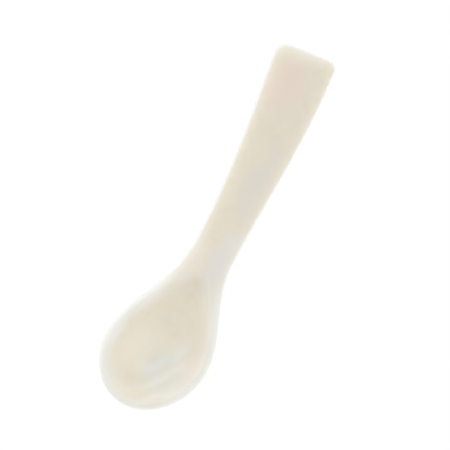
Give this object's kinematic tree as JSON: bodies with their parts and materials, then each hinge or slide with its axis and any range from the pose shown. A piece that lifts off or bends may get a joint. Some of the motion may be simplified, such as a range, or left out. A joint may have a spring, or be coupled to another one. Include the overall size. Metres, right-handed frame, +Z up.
{
  "type": "caviar spoon",
  "caption": "Small flat-handled tasting spoon cut from one piece of pale mother-of-pearl shell, with a shallow egg-shaped bowl.",
  "frame": {"origin": "on the table under the middle of the spoon's length and width, as it lies face up at rest", "axes": "+Y along the spoon towards the handle's end, +Z up out of the bowl, +X to the right seen from above"},
  "size_m": [0.0242, 0.09, 0.0069],
  "materials": {
    "nacre": "polished mother-of-pearl shell"
  },
  "bodies": {
    "root": {"spoon": "nacre"}
  },
  "joints": []
}
